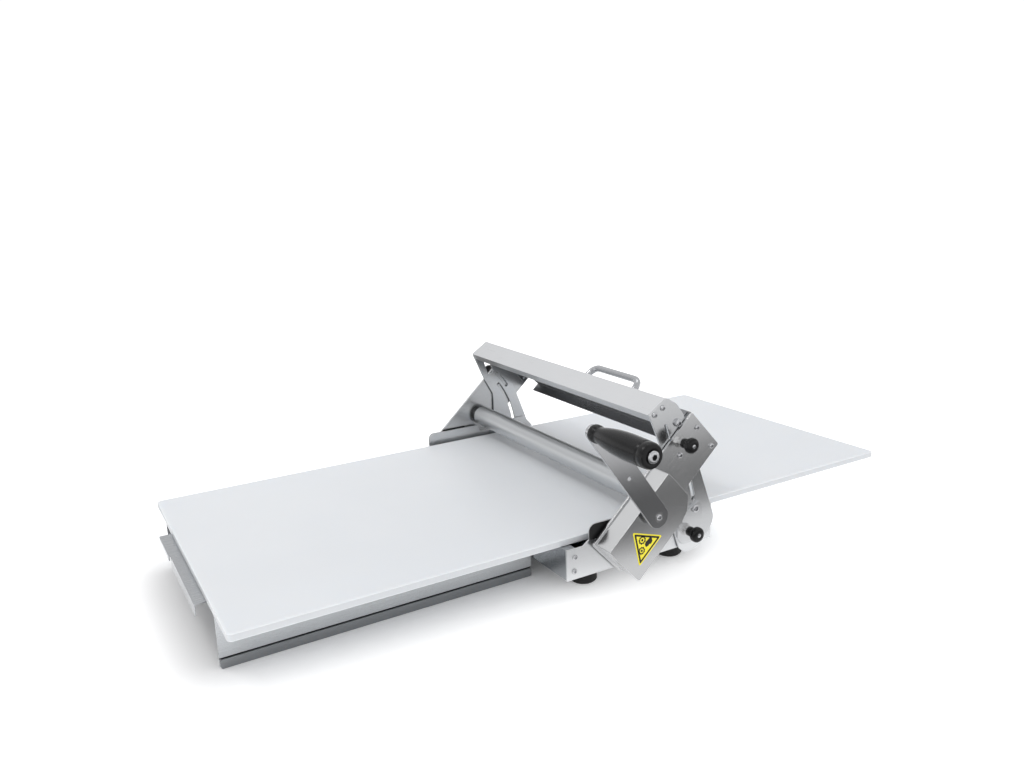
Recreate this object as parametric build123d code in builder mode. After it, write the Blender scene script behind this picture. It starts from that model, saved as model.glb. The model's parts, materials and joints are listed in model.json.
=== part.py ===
"""Hand-cranked table-top dough sheeter with a sliding plastic board.

Row frame: +X along the board (the way the dough travels), +Y along the roller
away from the crank, +Z up. Z = 0 is the table that the feet stand on. All sizes
are millimetres. The machine's own middle plane is y = MID_Y, because the crank
grip reaches further out on one side than anything does on the other. Lengthwise
sizes below are measured from the machine's datum, and save() adds MID_X.

Side plates stand in layers, measured outwards from the middle plane: base side
panel, upright arm, then head plate. "near" is the crank side (-Y), "far" is +Y.
"""
from build123d import *
from math import atan2, cos, degrees, hypot, pi, radians, sin, sqrt, tan
import os

os.makedirs("parts", exist_ok=True)

# ---------------------------------------------------------------- driving sizes
MID_X = 8.0                      # shift of the lengthwise datum, added when a piece is saved
MID_Y = 59.0                     # middle plane of the machine
NEAR, FAR = -1, 1
SIDES = {"near": NEAR, "far": FAR}

SHEET = 2.0                      # folded sheet steel
PLATE = 3.0                      # flat side plates
PANEL_IN = 225.0                 # base side panel, inner face from the middle plane
ARM_IN = 228.0                   # upright arm, inner face
HEAD_IN = 232.0                  # head plate, inner face
PANEL_OUT = PANEL_IN + SHEET
ARM_OUT = ARM_IN + PLATE
HEAD_OUT = HEAD_IN + PLATE

# board
BOARD_LEFT, BOARD_RIGHT = -487.0, 486.0
BOARD_HALF = 214.5
BOARD_LOW, BOARD_TOP = 65.0, 74.0
BOARD_CORNER = 6.0
REST_Z = BOARD_LOW - 0.5         # folded edges that carry the board

# base
BASE_LEFT, BASE_RIGHT = -92.0, 140.0
PAN_Z = 24.0
FLANGE = 14.0
TAB_LONG = 24.0
GUARD_TOP = 90.0
GUARD_LEFT = -59.0
FOOT_X = (-44.0, 97.0)
FOOT_Y = 192.0
FOOT_R = 18.0

# rollers
ROLLER_R = 16.0
ROLLER_X, ROLLER_Z = 41.0, 106.0
UPPER_HALF = 223.0
LOWER_HALF = 221.0
LOWER_X, LOWER_Z = 44.0, BOARD_LOW - ROLLER_R - 0.3
JOURNAL_R = 6.0
RUNNING = 0.05                   # radial running clearance

# head: a frame leaning at TILT, hinged on the base at HINGE
TILT = 42.5
HINGE = (-39.0, 67.5)
HEAD_LONG = 211.0
HEAD_LOW, HEAD_HIGH = 20.0, 88.0
CLOSING = 10.0                   # degrees from widest gap to board

# upright: two arms and the cross beam
BEAM_TILT = 32.7
BEAM_FOOT = (30.0, 213.5)        # lower corner of the beam's top face
BEAM_WIDE = 33.3
PIVOT = (105.0, 76.0)
UPPER_PIN = (76.0, 173.0)
LOWER_PIN = (89.0, 51.0)
GUIDE_PIN = (77.0, 154.6)
STOP = (75.0, 197.0)
BEAM_HOLES = ((51.0, 220.0), (38.5, 213.0))

# gears and crank
MODULE = 1.5
PRESSURE = 25.0
CRANK_TEETH, ROLLER_TEETH = 16, 26
BACKLASH = 0.22
GEAR_IN, GEAR_WIDE = 238.0, 10.0
GEAR_LINE = 10.06                # slope of the line through both gear centres
COVER_OUT = 264.0
CRANK_IN, CRANK_THICK = 271.0, 4.0
CRANK_LONG = 156.0
CRANK_ANGLE = 127.6
CRANK_HALF = 14.5
CRANK_TIP = 9.0
GRIP_START, GRIP_END = 276.0, 377.0
TIP = 380.0

# index plungers
PIN_R = 2.5
KNOB_R = 10.0

# tray
TAB_LEFT, LIP_LEFT, TRAY_LEFT, TRAY_RIGHT = -502.0, -500.0, -486.5, -94.0
LIP_NEAR, LIP_FAR = -111.0, 105.0
TRAY_HALF = 147.5
TRAY_TOP = BOARD_LOW - 0.2
TRAY_THICK = 1.5
RAIL_HIGH, RAIL_GAP = 11.2, 2.0

GEAR_CENTRES = MODULE * (CRANK_TEETH + ROLLER_TEETH) / 2
CRANK_X = ROLLER_X - GEAR_CENTRES * cos(radians(GEAR_LINE))
CRANK_Z = ROLLER_Z - GEAR_CENTRES * sin(radians(GEAR_LINE))
GRIP_X = CRANK_X + CRANK_LONG * cos(radians(CRANK_ANGLE))
GRIP_Z = CRANK_Z + CRANK_LONG * sin(radians(CRANK_ANGLE))
COS, SIN = cos(radians(TILT)), sin(radians(TILT))


# ---------------------------------------------------------------- small helpers
def save(piece, label):
    """Move a finished sub-part from the machine's datum into the row frame, label it and write it."""
    piece.part.move(Location((MID_X, 0, 0)))
    piece.part.label = label
    export_step(piece.part, f"parts/{label}.step")


def side_plane(side, out):
    """Plane parallel to XZ at a distance out from the middle; local axes are X and Z."""
    return Plane(origin=(0, MID_Y + side * out, 0), x_dir=(1, 0, 0), z_dir=(0, -1, 0))


def head_plane(side, out):
    """As side_plane, turned to the head's lean; local axes run along and across the head."""
    return Plane(origin=(0, MID_Y + side * out, 0), x_dir=(COS, 0, SIN), z_dir=(0, -1, 0))


def outwards(side, thickness):
    """Extrusion amount that grows away from the middle plane on either side."""
    return -side * thickness


def in_head(x, z):
    """Position of a point of the XZ plane in the head's leaning axes."""
    return (x * COS + z * SIN, -x * SIN + z * COS)


def on_arc(centre, radius, angle):
    return (centre[0] + radius * cos(radians(angle)), centre[1] + radius * sin(radians(angle)))


def reach(point, centre=HINGE):
    """Radius and angle of a point about a centre."""
    return (hypot(point[0] - centre[0], point[1] - centre[1]),
            degrees(atan2(point[1] - centre[1], point[0] - centre[0])))


def arc_slot(radius, first, last, half):
    """Cut a slot that follows a circle about the head hinge, used inside a BuildSketch block."""
    with BuildLine(mode=Mode.PRIVATE) as edge:
        CenterArc(HINGE, radius + half, last, first - last)
        CenterArc(HINGE, radius - half, last, first - last)
        CenterArc(on_arc(HINGE, radius, first), half, first, 180)
        CenterArc(on_arc(HINGE, radius, last), half, last + 180, 180)
    make_face(edge.edges(), mode=Mode.SUBTRACT)


def disc(plane, at, radius, amount, mode=Mode.ADD):
    """A round boss or a round cut, used inside a BuildPart block."""
    with BuildSketch(plane) as face:
        with Locations(at):
            Circle(radius)
    extrude(face.sketch, amount=amount, mode=mode)


def stacked(side, at, steps, plane=side_plane):
    """Round piece along Y made of (from, to, radius) lengths measured outwards."""
    with BuildPart() as piece:
        for start, end, radius in steps:
            disc(plane(side, start), at, radius, outwards(side, end - start))
    return piece


# ---------------------------------------------------------------- base
def base_pan():
    """Folded tray with end walls that carry the board and tabs for the side panels."""
    left, right = BASE_LEFT, BASE_RIGHT
    outline = [
        (left, REST_Z), (left, PAN_Z), (right, PAN_Z), (right, REST_Z),
        (right - FLANGE, REST_Z), (right - FLANGE, REST_Z - SHEET), (right - SHEET, REST_Z - SHEET),
        (right - SHEET, PAN_Z + SHEET), (left + SHEET, PAN_Z + SHEET), (left + SHEET, REST_Z - SHEET),
        (left + FLANGE, REST_Z - SHEET), (left + FLANGE, REST_Z),
    ]
    half = PANEL_IN - 0.1
    with BuildPart() as pan:
        with BuildSketch(side_plane(NEAR, half)):
            with BuildLine():
                Polyline(*outline, close=True)
            make_face()
        extrude(amount=-2 * half)
        fillet(pan.edges().filter_by(Axis.Y).group_by(Axis.Z)[0], SHEET)
        for side in SIDES.values():
            for start in (left + SHEET, right - SHEET - TAB_LONG):
                with BuildSketch(side_plane(side, half - SHEET)):
                    with Locations((start + TAB_LONG / 2, (PAN_Z + REST_Z) / 2)):
                        Rectangle(TAB_LONG, REST_Z - PAN_Z - 2 * SHEET)
                extrude(amount=outwards(side, SHEET))
            for x, z in ((-80.0, 53.0), (-81.0, 35.0)):
                disc(side_plane(side, half), (x, z), 1.9, outwards(side, -SHEET), Mode.SUBTRACT)
        with BuildSketch(Plane.XY.offset(PAN_Z)):
            for x in FOOT_X:
                with Locations((x, MID_Y - FOOT_Y), (x, MID_Y + FOOT_Y)):
                    Circle(2.6)
        extrude(amount=SHEET, mode=Mode.SUBTRACT)
        with BuildSketch(Plane.YZ.offset(left)):
            for y in (-100.0, 100.0):
                with Locations((MID_Y + y, 48.0)):
                    Rectangle(32.0, 3.4)
        extrude(amount=SHEET, mode=Mode.SUBTRACT)
    return pan


def base_side(side):
    """Side panel with the raised guard beside the board and an open slot for the roller journal."""
    outline = [
        (BASE_LEFT, PAN_Z), (BASE_LEFT, REST_Z), (GUARD_LEFT - 9, REST_Z),
        (GUARD_LEFT, REST_Z + 6), (GUARD_LEFT, GUARD_TOP), (BASE_RIGHT - 16, GUARD_TOP),
        (BASE_RIGHT, GUARD_TOP - 18), (BASE_RIGHT, PAN_Z),
    ]
    slot_left, slot_right, slot_low = 33.0, 56.0, 78.0
    with BuildPart() as panel:
        with BuildSketch(side_plane(side, PANEL_IN)) as face:
            with BuildLine():
                Polyline(*outline, close=True)
            make_face()
            fillet(face.vertices().sort_by_distance((GUARD_LEFT, GUARD_TOP, 0))[0], 9.0)
            with Locations(((slot_left + slot_right) / 2, (slot_low + GUARD_TOP + 20) / 2)):
                RectangleRounded(slot_right - slot_left, GUARD_TOP + 20 - slot_low, 9.0, mode=Mode.SUBTRACT)
            for x, z, r in (
                (LOWER_X, LOWER_Z, 8.0), (*HINGE, 4.0), (*PIVOT, 4.0), (*LOWER_PIN, PIN_R + 0.15),
                (-80.0, 53.0, 2.1), (-81.0, 35.0, 2.1),
            ):
                with Locations((x, z)):
                    Circle(r, mode=Mode.SUBTRACT)
        extrude(amount=outwards(side, SHEET))
    return panel


def hinge_pad(side):
    """Black wear pad on the panel's outer face, between it and the swinging head."""
    with BuildPart() as pad:
        with BuildSketch(side_plane(side, PANEL_OUT)) as face:
            with BuildLine():
                Polyline((GUARD_LEFT, REST_Z + 6), (GUARD_LEFT, GUARD_TOP), (12, GUARD_TOP), (12, REST_Z + 6),
                         close=True)
            make_face()
            fillet(face.vertices().sort_by_distance((GUARD_LEFT, GUARD_TOP, 0))[0], 9.0)
            with Locations(HINGE):
                Circle(7.6, mode=Mode.SUBTRACT)
        extrude(amount=outwards(side, 1.5))
    return pad


def foot(x, side):
    """Moulded rubber foot with a sunk hole for its screw."""
    with BuildPart() as piece:
        with BuildSketch(Plane.XZ):
            with BuildLine():
                Polyline((0, 0), (FOOT_R - 3, 0), (FOOT_R, 3), (FOOT_R - 1, PAN_Z - 3), (FOOT_R - 3, PAN_Z),
                         (0, PAN_Z), close=True)
            make_face()
        revolve(axis=Axis.Z)
        with Locations(Plane.XY.rotated((180, 0, 0))):
            CounterBoreHole(radius=2.8, counter_bore_radius=6.5, counter_bore_depth=8.0)
    piece.part.locate(Location((x, MID_Y + side * FOOT_Y, 0)))
    return piece


def foot_screws():
    with BuildPart() as group:
        for x in FOOT_X:
            for side in SIDES.values():
                place = (x, MID_Y + side * FOOT_Y)
                for low, high, radius in ((4.5, 8.0, 5.5), (8.0, 34.0, 2.4)):
                    disc(Plane.XY.offset(low), place, radius, high - low)
                with BuildSketch(Plane.XY.offset(PAN_Z + SHEET)):
                    with Locations(place):
                        RegularPolygon(5.0, 6)
                extrude(amount=4.5)
    return group


def pan_screws():
    """Four screws that hold the side panels to the pan's tabs."""
    with BuildPart() as group:
        for side in SIDES.values():
            for place in ((-80.0, 53.0), (-81.0, 35.0)):
                disc(side_plane(side, PANEL_IN - 4.0), place, 1.8, outwards(side, 6.0))
                disc(side_plane(side, PANEL_OUT), place, 3.6, outwards(side, 2.2))
    return group


def flanged_bushes(at, start, end, barrel, flange, sides):
    """Plain bearings: a barrel through the plate and a flange on its outer face."""
    with BuildPart() as group:
        for side in sides:
            disc(side_plane(side, start), at, barrel, outwards(side, end - start))
            disc(side_plane(side, end), at, flange, outwards(side, 1.5))
            disc(side_plane(side, start), at, JOURNAL_R + RUNNING, outwards(side, end - start + 1.5),
                 Mode.SUBTRACT)
    return group


def roller(at, half, near_end, far_end):
    """Steel tube and the plugged shaft pressed into it."""
    bore = ROLLER_R - 2.5
    with BuildPart() as tube:
        with BuildSketch(side_plane(NEAR, half)):
            with Locations(at):
                Circle(ROLLER_R)
                Circle(bore, mode=Mode.SUBTRACT)
        extrude(amount=-2 * half)
    with BuildPart() as shaft:
        disc(side_plane(NEAR, near_end), at, JOURNAL_R, -(near_end + far_end))
        for side in SIDES.values():
            disc(side_plane(side, half - 12.0), at, bore, outwards(side, 12.0))
    return tube, shaft


# ---------------------------------------------------------------- upright
def upright_arm(side):
    """Leaning arm with index seats, guide slot, rounded foot and an upper opening, wider on the far arm."""
    outline = [
        BEAM_FOOT, (50.0, 168.0), (66.0, 139.0), (66.0, 110.0), (74.0, 48.0), (82.0, 24.0), (93.0, 15.0),
        (119.0, 20.0), (143.0, 52.0), (86.0, 205.0), (74.0, 221.5), (58.0, 231.5),
    ]
    roundings = ((BEAM_FOOT, 3), ((50, 168), 30), ((66, 139), 12), ((82, 24), 12), ((93, 15), 12),
                 ((119, 20), 22), ((143, 52), 22), ((86, 205), 12), ((74, 221.5), 12), ((58, 231.5), 4))
    pin_radius, pin_angle = reach(UPPER_PIN)
    guide_radius, guide_angle = reach(GUIDE_PIN)
    half = PIN_R + 0.35
    with BuildPart() as arm:
        with BuildSketch(side_plane(side, ARM_IN)) as face:
            with BuildLine():
                Polyline(*outline, close=True)
            make_face()
            for (x, z), radius in roundings:
                corner = face.vertices().sort_by_distance((x, z, 0))[0]
                fillet(corner, radius)
            for index in range(5):
                with Locations(on_arc(HINGE, pin_radius, pin_angle - index * CLOSING / 4)):
                    Circle(PIN_R + 0.65, mode=Mode.SUBTRACT)
            arc_slot(pin_radius, pin_angle, pin_angle - CLOSING, half)
            arc_slot(guide_radius, guide_angle, guide_angle - 28.5, half)
            with Locations(Location((59.0, 187.5), -71.5)):
                if side == NEAR:
                    SlotOverall(22.0, 3.6, mode=Mode.SUBTRACT)
                else:
                    RectangleRounded(25.0, 10.5, 3.0, mode=Mode.SUBTRACT)
            for x, z, r in ((*PIVOT, 4.2), (*LOWER_PIN, PIN_R + 0.15), (*STOP, 2.1),
                            (*BEAM_HOLES[0], 2.1), (*BEAM_HOLES[1], 2.1)):
                with Locations((x, z)):
                    Circle(r, mode=Mode.SUBTRACT)
        extrude(amount=outwards(side, PLATE))
    return arm


def beam_plane(out):
    """Section plane of the beam: local axes along its top face and square to it."""
    lean = radians(BEAM_TILT)
    return Plane(origin=(BEAM_FOOT[0], MID_Y - out, BEAM_FOOT[1]),
                 x_dir=(cos(lean), 0, sin(lean)), z_dir=(0, -1, 0))


def upright_beam():
    """Folded channel between the arms, open below, closed by screwed end tabs."""
    front, rear = 12.0, 20.0
    outline = [
        (0, 0), (0, -front), (SHEET, -front), (SHEET, -SHEET), (BEAM_WIDE - SHEET, -SHEET),
        (BEAM_WIDE - SHEET, -rear), (BEAM_WIDE, -rear), (BEAM_WIDE, 0),
    ]
    with BuildPart() as beam:
        with BuildSketch(beam_plane(ARM_IN)):
            with BuildLine():
                Polyline(*outline, close=True)
            make_face()
        extrude(amount=-2 * ARM_IN)
        for start in (ARM_IN, -ARM_IN + SHEET):
            with BuildSketch(beam_plane(start)):
                with Locations((BEAM_WIDE / 2, -(front + SHEET) / 2)):
                    Rectangle(BEAM_WIDE - SHEET, front - SHEET)
            extrude(amount=-SHEET)
        for place in BEAM_HOLES:
            disc(side_plane(NEAR, ARM_IN), place, 1.9, -2 * ARM_IN, Mode.SUBTRACT)
        fillet(beam.edges().filter_by(Axis.Y).group_by(Axis.Z)[-1], 1.8)
    return beam


def cap_screws(places, head_at, head_long, head_radius, shank_radius, inner):
    """Round-headed screws along Y on both sides, one solid each."""
    with BuildPart() as group:
        for side in SIDES.values():
            for place in places:
                disc(side_plane(side, inner), place, shank_radius, outwards(side, head_at - inner))
                disc(side_plane(side, head_at), place, head_radius, outwards(side, head_long))
    return group


def plunger_lug(side):
    """Doubling plate on the arm's foot that carries the lower plunger."""
    outline = [(77.0, 66.0), (113.0, 86.0), (119.0, 76.0), (118.0, 50.0), (104.0, 31.0), (86.0, 29.0),
               (77.0, 41.0)]
    with BuildPart() as lug:
        with BuildSketch(side_plane(side, ARM_OUT)) as face:
            with BuildLine():
                Polyline(*outline, close=True)
            make_face()
            fillet(face.vertices(), 4.5)
            with Locations(PIVOT):
                Circle(4.2, mode=Mode.SUBTRACT)
            with Locations(LOWER_PIN):
                Circle(PIN_R + RUNNING, mode=Mode.SUBTRACT)
        extrude(amount=outwards(side, PLATE))
    return lug


# ---------------------------------------------------------------- plungers
def plunger_body(side, at, seat):
    """Hexagon-based sleeve fixed on a plate; the pin slides in it."""
    with BuildPart() as body:
        with BuildSketch(side_plane(side, seat)):
            with Locations(at):
                RegularPolygon(8.0, 6)
        extrude(amount=outwards(side, 3.0))
        disc(side_plane(side, seat + 3.0), at, 6.2, outwards(side, 5.0))
        disc(side_plane(side, seat), at, PIN_R + RUNNING, outwards(side, 8.0), Mode.SUBTRACT)
    return body


def plunger_pin(side, at, nose, tail):
    return stacked(side, at, [(nose, nose + 0.6, PIN_R - 0.4), (nose + 0.6, tail, PIN_R)])


def plunger_knob(side, at, start):
    """Mushroom pull knob: neck, flared waist and domed head, hollow for the pin."""
    profile = [(0, 0), (6.4, 0), (6.4, 6.6), (5.6, 8.0), (KNOB_R - 0.6, 10.4), (KNOB_R, 11.6),
               (KNOB_R, 15.8), (KNOB_R - 1.4, 17.6), (KNOB_R - 3.4, 18.5), (0, 18.8)]
    axis_plane = Plane(origin=(at[0], MID_Y + side * start, at[1]), x_dir=(1, 0, 0), z_dir=(0, 0, side))
    with BuildPart() as knob:
        with BuildSketch(axis_plane):
            with BuildLine():
                Polyline(*profile, close=True)
            make_face()
        revolve(axis=Axis((at[0], MID_Y, at[1]), (0, 1, 0)))
        disc(side_plane(side, start), at, PIN_R, outwards(side, 10.0), Mode.SUBTRACT)
    return knob


# ---------------------------------------------------------------- head
HINGE_UV = in_head(*HINGE)
ROLLER_UV = in_head(ROLLER_X, ROLLER_Z)
CRANK_UV = in_head(CRANK_X, CRANK_Z)
UPPER_UV = in_head(*UPPER_PIN)
GUIDE_UV = in_head(*GUIDE_PIN)
WEB_SCREWS = ((202.7, 67.2), (201.5, 28.6))
COVER_TABS = ((14.0, 28.0), (89.0, 29.0), (115.0, 78.0))
HANDLE_V = 51.0
HANDLE_LONG = 115.0
HANDLE_MID = MID_Y - 8.0
HANDLE_HIGH = 39.4


def head_plate(side):
    """Leaning side plate that carries the roller, the web and an upper plunger."""
    with BuildPart() as plate:
        with BuildSketch(head_plane(side, HEAD_IN)) as face:
            with BuildLine():
                Polyline((1, HEAD_HIGH), (1, HEAD_LOW + 8), (9, HEAD_LOW), (HEAD_LONG, HEAD_LOW),
                         (HEAD_LONG, HEAD_HIGH), close=True)
            make_face()
            fillet(face.vertices(), 2.5)
            round_holes = [(*HINGE_UV, 4.0 + RUNNING), (*ROLLER_UV, 8.5), (*UPPER_UV, PIN_R + RUNNING),
                           (*GUIDE_UV, 2.2)]
            round_holes += [(u, v, 2.1) for u, v in WEB_SCREWS]
            if side == NEAR:
                round_holes += [(*CRANK_UV, 8.5)]
                round_holes += [(u, v, 2.1) for u, v in COVER_TABS]
            for u, v, r in round_holes:
                with Locations((u, v)):
                    Circle(r, mode=Mode.SUBTRACT)
        extrude(amount=outwards(side, PLATE))
    return plate


def head_web():
    """Cross channel that ties the two head plates; the carry handle sits on its back."""
    low, high, back = 6.0, HEAD_HIGH, HEAD_LONG
    inner = ARM_IN - 2.0
    with BuildPart() as web:
        with BuildSketch(head_plane(NEAR, HEAD_IN)):
            with Locations((back - SHEET / 2, (low + high) / 2)):
                Rectangle(SHEET, high - low)
        extrude(amount=-2 * HEAD_IN)
        with BuildSketch(head_plane(NEAR, inner)):
            with Locations((back - 8.0, low + SHEET / 2)):
                Rectangle(16.0, SHEET)
            with Locations((back - 6.0, high - SHEET / 2)):
                Rectangle(12.0, SHEET)
        extrude(amount=-2 * inner)
        for side in SIDES.values():
            across = Plane(origin=(0, MID_Y, 0), x_dir=(0, side, 0), z_dir=(COS, 0, SIN))
            with BuildSketch(across.offset(back - 16.0)):
                with BuildLine():
                    Polyline((HEAD_IN + 1, side * (low - 1)), (HEAD_IN + 1, side * 24),
                             (HEAD_IN - 12, side * 24), (HEAD_IN - 17, side * (low - 1)), close=True)
                make_face()
            extrude(amount=16.0, mode=Mode.SUBTRACT)
            with BuildSketch(head_plane(side, HEAD_IN - SHEET)):
                with Locations((203.5, 48.0)):
                    Rectangle(13.0, 52.0)
            extrude(amount=outwards(side, SHEET))
            for place in WEB_SCREWS:
                disc(head_plane(side, HEAD_IN), place, 1.9, outwards(side, -SHEET), Mode.SUBTRACT)
        for y in (HANDLE_MID - HANDLE_LONG / 2, HANDLE_MID + HANDLE_LONG / 2):
            behind = Plane(origin=(0, y, 0), x_dir=(0, 1, 0), z_dir=(COS, 0, SIN))
            with BuildSketch(behind.offset(back - SHEET)):
                with Locations((0, HANDLE_V)):
                    Circle(3.1)
            extrude(amount=SHEET, mode=Mode.SUBTRACT)
    return web


def carry_handle():
    """Bent round-bar bail with collars and threaded tails through the web."""
    base = Plane(origin=(-HANDLE_V * SIN, HANDLE_MID, HANDLE_V * COS), x_dir=(0, 1, 0), z_dir=(SIN, 0, -COS))
    half, foot_u, top_u = HANDLE_LONG / 2, HEAD_LONG + 2.5, HEAD_LONG + HANDLE_HIGH
    with BuildPart() as handle:
        with BuildLine(base):
            FilletPolyline((-half, foot_u), (-half, top_u), (half, top_u), (half, foot_u), radius=15.0)
        with BuildSketch(Plane(origin=base.from_local_coords((-half, foot_u, 0)), z_dir=(COS, 0, SIN))):
            Circle(5.0)
        sweep()
        for end in (-half, half):
            for start, length, radius in ((HEAD_LONG, 2.5, 8.5), (HEAD_LONG - 8.0, 8.0, 3.0)):
                place = base.from_local_coords((end, start, 0))
                with BuildSketch(Plane(origin=place, z_dir=(COS, 0, SIN))):
                    Circle(radius)
                extrude(amount=length)
    return handle


def handle_nuts():
    with BuildPart() as nuts:
        for end in (-HANDLE_LONG / 2, HANDLE_LONG / 2):
            u = HEAD_LONG - SHEET - 4.8
            place = (u * COS - HANDLE_V * SIN, HANDLE_MID + end, u * SIN + HANDLE_V * COS)
            with BuildSketch(Plane(origin=place, x_dir=(0, 1, 0), z_dir=(COS, 0, SIN))):
                RegularPolygon(5.8, 6)
                Circle(3.0, mode=Mode.SUBTRACT)
            extrude(amount=4.8)
    return nuts


def gear_cover():
    """Folded box over the gears, open towards the near head plate, with three screw tabs."""
    wall = 1.5
    outline = [(4, 86), (4, 20), (95, 20), (110, 24), (125, 38), (125, 86)]
    depth = COVER_OUT - HEAD_OUT
    with BuildPart() as cover:
        with BuildSketch(head_plane(NEAR, HEAD_OUT)) as face:
            with BuildLine():
                Polyline(*outline, close=True)
            make_face()
            fillet(face.vertices(), 1.6)
        extrude(amount=depth)
        with BuildSketch(head_plane(NEAR, HEAD_OUT)):
            with BuildLine():
                Polyline(*outline, close=True)
            make_face()
            offset(amount=-wall, kind=Kind.INTERSECTION)
        extrude(amount=depth - wall, mode=Mode.SUBTRACT)
        for u, v in COVER_TABS:
            with BuildSketch(head_plane(NEAR, HEAD_OUT)):
                with Locations((u, (20 + wall / 2 + v + 5) / 2 if v < 50 else (86 - wall / 2 + v - 5) / 2)):
                    Rectangle(10.0, v + 5 - 20 - wall / 2 if v < 50 else 86 - wall / 2 - v + 5)
            extrude(amount=2.2)
            disc(head_plane(NEAR, HEAD_OUT), (u, v), 1.9, 2.2, Mode.SUBTRACT)
        disc(head_plane(NEAR, COVER_OUT - wall), CRANK_UV, 8.5, wall, Mode.SUBTRACT)
    return cover


# ---------------------------------------------------------------- gears and crank
def involute_flank(teeth, base, outer, offset_angle, samples=5):
    """Points of one involute flank, turned by offset_angle at the base circle."""
    points = []
    for step in range(samples + 1):
        radius = base + (outer - base) * step / samples
        roll = sqrt(max((radius / base) ** 2 - 1, 0))
        angle = roll - atan2(roll, 1) + offset_angle
        points.append((radius * cos(angle), radius * sin(angle)))
    return points


def gear(at, teeth, first_tooth, bore):
    """Involute spur gear; first_tooth is the angle of one tooth's middle in degrees."""
    pitch = MODULE * teeth / 2
    base = pitch * cos(radians(PRESSURE))
    outer, root = pitch + MODULE, pitch - 1.25 * MODULE
    involute = tan(radians(PRESSURE)) - radians(PRESSURE)
    half_tooth = pi / (2 * teeth) - BACKLASH / (2 * pitch)
    start = max(base, root + 0.02)
    outline = []
    for tooth in range(teeth):
        middle = radians(first_tooth) + 2 * pi * tooth / teeth
        low = middle - half_tooth - involute
        high = middle + half_tooth + involute
        rising = [point for point in involute_flank(teeth, base, outer, low) if hypot(*point) >= start - 0.01]
        falling = [(x * cos(2 * middle) + y * sin(2 * middle), x * sin(2 * middle) - y * cos(2 * middle))
                   for x, y in reversed(rising)]
        outline += [(root * cos(low), root * sin(low)), *rising, *falling,
                    (root * cos(high), root * sin(high))]
    with BuildPart() as piece:
        with BuildSketch(side_plane(NEAR, GEAR_IN)):
            with BuildLine():
                Polyline(*[(at[0] + x, at[1] + z) for x, z in outline], close=True)
            make_face()
            with Locations(at):
                Circle(bore, mode=Mode.SUBTRACT)
        extrude(amount=GEAR_WIDE)
    return piece


def crank_arm():
    """Flat bar, round at the pivot and narrowed to the grip, with a hub boss and a small hole."""
    pivot, tip = (CRANK_X, CRANK_Z), (GRIP_X, GRIP_Z)
    shoulder = on_arc(on_arc(pivot, 118.0, CRANK_ANGLE - 2), CRANK_HALF, CRANK_ANGLE - 92)
    outline = [
        on_arc(pivot, CRANK_HALF, CRANK_ANGLE + 88), on_arc(tip, CRANK_TIP, CRANK_ANGLE + 88),
        on_arc(tip, CRANK_TIP, 45.0), shoulder, on_arc(pivot, CRANK_HALF, CRANK_ANGLE - 92),
    ]
    with BuildPart() as arm:
        with BuildSketch(side_plane(NEAR, CRANK_IN)) as face:
            with BuildLine():
                Polyline(*outline, close=True)
            make_face()
            fillet(face.vertices().sort_by_distance((*shoulder, 0))[0], 18.0)
            with Locations(pivot):
                Circle(CRANK_HALF)
            with Locations(tip):
                Circle(CRANK_TIP)
        extrude(amount=CRANK_THICK)
        disc(side_plane(NEAR, CRANK_IN - 4.5), pivot, 10.0, 4.5)
        disc(side_plane(NEAR, CRANK_IN - 4.5), pivot, JOURNAL_R, 4.5 + CRANK_THICK, Mode.SUBTRACT)
        disc(side_plane(NEAR, CRANK_IN), tip, 5.0, CRANK_THICK, Mode.SUBTRACT)
        disc(side_plane(NEAR, CRANK_IN), on_arc(pivot, 73.7, CRANK_ANGLE), 2.4, CRANK_THICK, Mode.SUBTRACT)
    return arm


def crank_grip():
    """Turned black handle that spins on its spindle."""
    length = GRIP_END - GRIP_START
    with BuildPart() as grip:
        start = (GRIP_X, MID_Y - GRIP_START, GRIP_Z)
        with BuildSketch(Plane(origin=start, x_dir=(1, 0, 0), z_dir=(0, 0, 1))):
            with BuildLine():
                collar = Polyline((5.0 + RUNNING, 0), (10.0, 0), (10.5, -1.5), (10.5, -8.0), (9.3, -10.5),
                                  (9.6, -13.0))
                body = Spline(collar @ 1, (13.0, -34.0), (15.0, -62.0), (14.2, -length + 6),
                              tangents=((0.25, -1), (-0.35, -1)))
                Polyline(body @ 1, (12.6, -length + 1.2), (11.0, -length), (5.0 + RUNNING, -length),
                         (5.0 + RUNNING, 0))
            make_face()
        revolve(axis=Axis((GRIP_X, 0, GRIP_Z), (0, 1, 0)))
    return grip


def grip_spindle():
    """Spindle riveted in the crank arm, with a flat socket head outside the grip."""
    with BuildPart() as spindle:
        disc(side_plane(NEAR, CRANK_IN), (GRIP_X, GRIP_Z), 5.0, GRIP_END + 0.4 - CRANK_IN)
        disc(side_plane(NEAR, GRIP_END + 0.4), (GRIP_X, GRIP_Z), 6.6, TIP - GRIP_END - 0.4)
        with BuildSketch(side_plane(NEAR, TIP)):
            with Locations((GRIP_X, GRIP_Z)):
                RegularPolygon(3.2, 6)
        extrude(amount=-2.0, mode=Mode.SUBTRACT)
    return spindle


# ---------------------------------------------------------------- board and tray
def board():
    with BuildPart() as slab:
        with BuildSketch(Plane.XY.offset(BOARD_LOW)):
            with Locations(((BOARD_LEFT + BOARD_RIGHT) / 2, MID_Y)):
                RectangleRounded(BOARD_RIGHT - BOARD_LEFT, 2 * BOARD_HALF, BOARD_CORNER)
        extrude(amount=BOARD_TOP - BOARD_LOW)
        fillet(slab.edges().group_by(Axis.Z)[-1], 1.2)
        fillet(slab.edges().group_by(Axis.Z)[0], 1.0)
    return slab


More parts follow.
